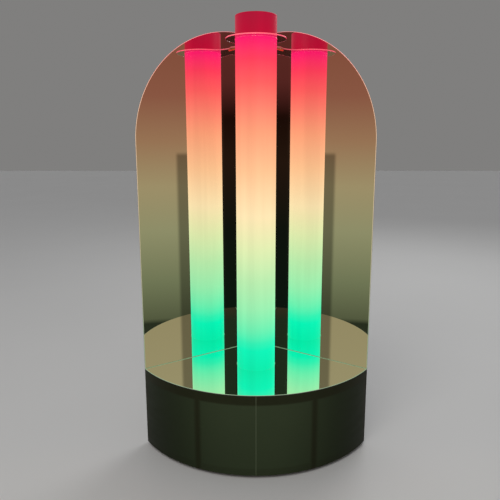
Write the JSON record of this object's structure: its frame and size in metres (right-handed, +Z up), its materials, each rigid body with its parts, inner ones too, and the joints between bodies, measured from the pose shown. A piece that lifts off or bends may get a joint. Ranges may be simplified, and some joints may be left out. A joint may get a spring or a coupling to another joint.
{
  "type": "led tube light sculpture",
  "caption": "Floor-standing light: a glowing opal tube on a round-fronted mirrored plinth, held by a clear collar before two arch-topped mirror wings set in a V.",
  "frame": {"origin": "on the floor, at the bottom centre of the bounding box", "axes": "+Z up along the tube; -Y towards the rounded front, +X to the viewer's right when facing the front; the lamp is symmetric about the plane X = 0 apart from the controls and the internal leads"},
  "size_m": [0.5858, 0.3676, 1.093],
  "materials": {
    "timber": "dark stained sheet timber",
    "silver_mirror": "silvered, polished edge",
    "smoked_skin": "smoked satin acrylic",
    "rubber": "matt",
    "black_board": "matt black laminated board",
    "steel": "plain",
    "aluminium": "satin",
    "brass": "satin, copper toned",
    "clear_acrylic": "clear, polished edge",
    "black_plastic": "fine texture",
    "white_plastic": "matt",
    "circuit_board": "white solder mask",
    "cable_sheath": "matt",
    "opal_glow": "opal acrylic, lit from inside",
    "opal_cap": "opal acrylic above the lights, dimly lit"
  },
  "bodies": {
    "lamp": {"bottom_board": "timber", "deck_board": "timber", "plinth_top_mirror": "silver_mirror", "front_skin_left": "smoked_skin", "front_skin_right": "smoked_skin", "frame_rib_left": "timber", "frame_rib_right": "timber", "corner_post_left": "timber", "corner_post_right": "timber", "rubber_foot_1": "rubber", "rubber_foot_2": "rubber", "rubber_foot_3": "rubber", "rubber_foot_4": "rubber", "wing_mirror_left": "silver_mirror", "wing_mirror_right": "silver_mirror", "rear_board_left": "black_board", "rear_board_right": "black_board", "angle_screw_left_1": "steel", "angle_screw_left_2": "steel", "angle_screw_left_3": "steel", "angle_screw_right_1": "steel", "angle_screw_right_2": "steel", "angle_screw_right_3": "steel", "corner_angle": "aluminium", "collar_peg_left": "brass", "collar_peg_right": "brass", "peg_nut_left": "brass", "peg_nut_right": "brass", "collar_plate": "clear_acrylic", "tube_socket": "black_plastic", "socket_screw_1": "steel", "socket_screw_2": "steel", "socket_screw_3": "steel", "contact_block": "brass", "control_plate": "aluminium", "plate_screw_1": "steel", "plate_screw_2": "steel", "plate_screw_3": "steel", "plate_screw_4": "steel", "switch_housing": "black_plastic", "power_jack": "black_plastic", "control_board": "circuit_board", "pixel_controller": "black_plastic", "supply_lead": "cable_sheath", "tube_feed_lead": "cable_sheath"},
    "light_tube": {"diffuser_tube": "opal_glow", "tube_top_cap": "opal_cap", "tube_base_plug": "white_plastic", "led_core": "aluminium", "led_strip_1": "circuit_board", "led_strip_2": "circuit_board", "led_strip_3": "circuit_board", "core_spacer_ring": "clear_acrylic", "light_stop_disc": "white_plastic"},
    "rocker": {"switch_rocker": "black_plastic"},
    "mode_push": {"mode_button": "white_plastic"},
    "dimmer": {"brightness_knob": "black_plastic"}
  },
  "joints": [
    {"name": "tube_lift", "type": "slide", "parent": "lamp", "child": "light_tube", "axis": [0, 0, 1], "range_m": [0, 0.93]},
    {"name": "power_rocker", "type": "hinge", "parent": "lamp", "child": "rocker", "pos_m": [0.11793, 0.10498, 0.112], "axis": [0, 0, 1], "range_deg": [0, 16]},
    {"name": "mode_press", "type": "slide", "parent": "lamp", "child": "mode_push", "axis": [-0.5592, -0.829, 0], "range_m": [0, 0.0015], "stiffness_N_per_m": 600, "springref_m": -0.0005},
    {"name": "brightness_turn", "type": "hinge", "parent": "lamp", "child": "dimmer", "pos_m": [0.1806, 0.06199, 0.112], "axis": [0.5592, 0.829, 0], "range_deg": [-135, 135]}
  ]
}
